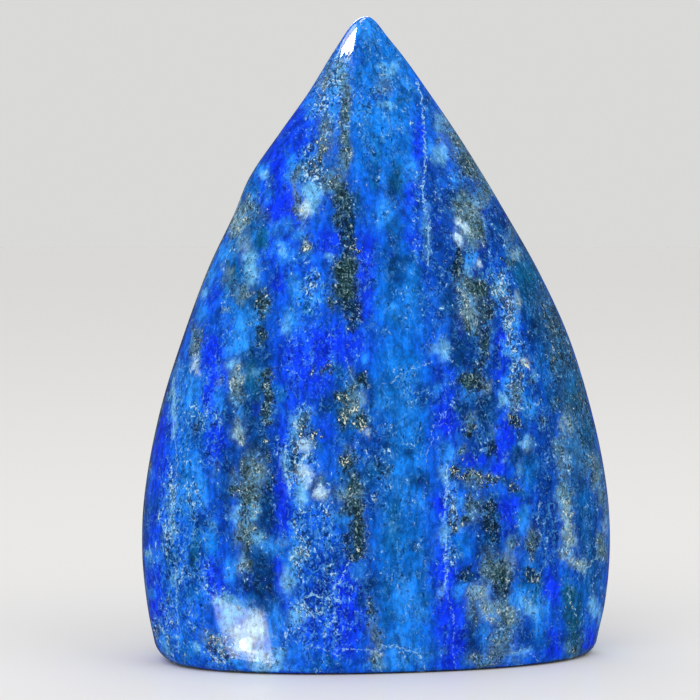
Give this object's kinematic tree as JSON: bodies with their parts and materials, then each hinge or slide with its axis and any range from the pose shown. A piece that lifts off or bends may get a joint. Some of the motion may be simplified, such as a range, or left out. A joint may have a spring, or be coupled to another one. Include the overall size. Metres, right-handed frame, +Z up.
{
  "type": "lapis lazuli freeform",
  "caption": "Polished flame-shaped stone of banded blue lapis lazuli with grey matrix, pale calcite and gold pyrite flecks, standing on a flat sawn base.",
  "frame": {"origin": "middle of the bounding box's bottom, in the plane of the flat base", "axes": "+Z up to the tip, X along the stone's width, -Y out of its front face"},
  "size_m": [0.0742, 0.038, 0.1],
  "materials": {
    "lapis_lazuli": "polished, banded blue with grey, white and gold flecks"
  },
  "bodies": {
    "root": {"stone": "lapis_lazuli"}
  },
  "joints": []
}
